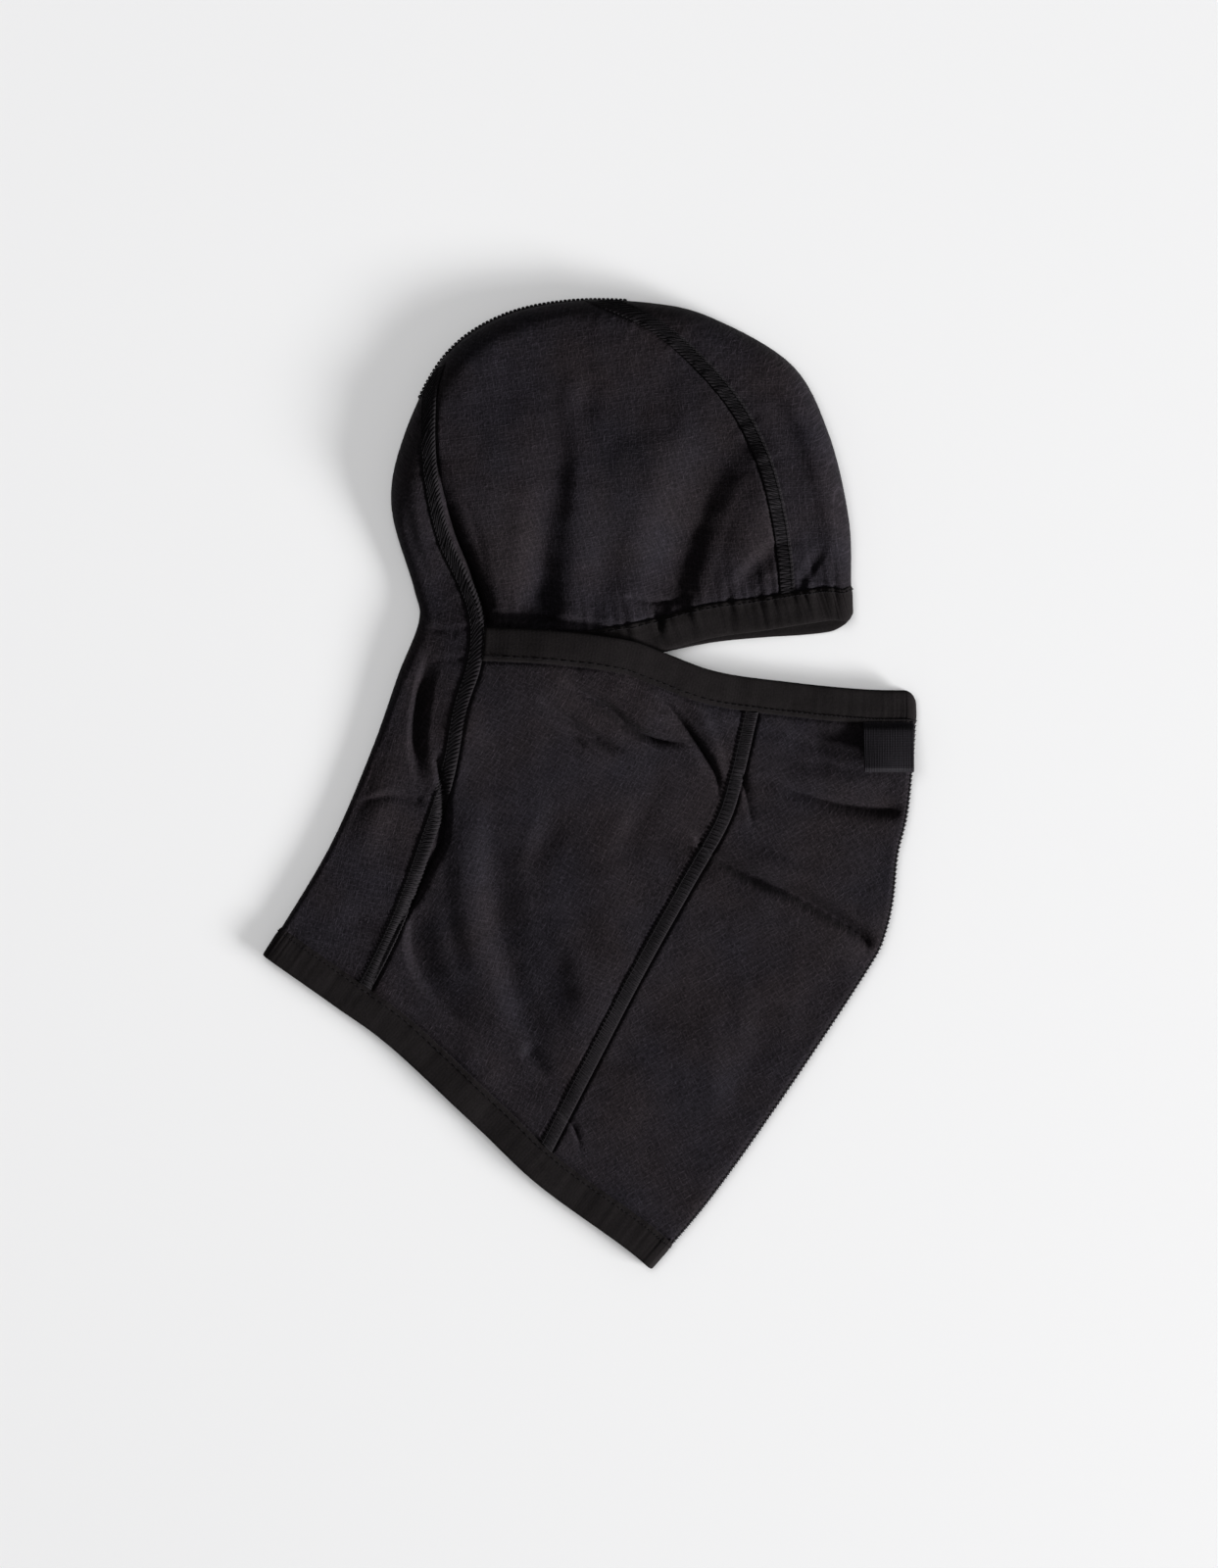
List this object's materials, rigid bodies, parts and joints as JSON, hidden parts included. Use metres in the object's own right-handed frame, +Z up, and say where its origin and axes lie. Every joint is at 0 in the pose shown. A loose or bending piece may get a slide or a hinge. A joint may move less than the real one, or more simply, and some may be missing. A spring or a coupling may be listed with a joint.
{
  "type": "balaclava",
  "caption": "Balaclava with a hinged face mask, lying flat: hood, neck tube, elastic face bands, raised seams and a webbing pull tab.",
  "frame": {"origin": "centre of the garment's outline, on the surface that it lies on", "axes": "+X the way the face points, +Y towards the crown, +Z up from the surface, the wearer's right side on top"},
  "size_m": [0.32, 0.4749, 0.0262],
  "materials": {
    "woven_fabric": "matte black light woven fabric with a faint grid",
    "elastic_band": "matte brownish black ribbed elastic",
    "seam_thread": "black textured thread over joined fabric edges",
    "tab_webbing": "black ribbed webbing with a slight sheen"
  },
  "bodies": {
    "garment": {"hood_side_panel_right": "woven_fabric", "hood_side_panel_left": "woven_fabric", "crown_front_panel": "woven_fabric", "back_panel": "woven_fabric", "neck_side_panel_right": "woven_fabric", "neck_side_panel_left": "woven_fabric", "chin_panel_right": "woven_fabric", "chin_panel_left": "woven_fabric", "brow_band": "elastic_band", "mask_band": "elastic_band", "hem_band": "elastic_band", "rear_seam_right": "seam_thread", "rear_seam_left": "seam_thread", "crown_centre_seam": "seam_thread", "crown_front_seam_right": "seam_thread", "crown_front_seam_left": "seam_thread", "chin_seam_right": "seam_thread", "chin_seam_left": "seam_thread", "centre_front_seam": "seam_thread"},
    "tab": {"pull_tab": "tab_webbing"}
  },
  "joints": [
    {"name": "tab_lift", "type": "hinge", "parent": "garment", "child": "tab", "pos_m": [0.1455, 0.02753, 0.01068], "axis": [-1, 0, 0], "range_deg": [0, 150]}
  ]
}
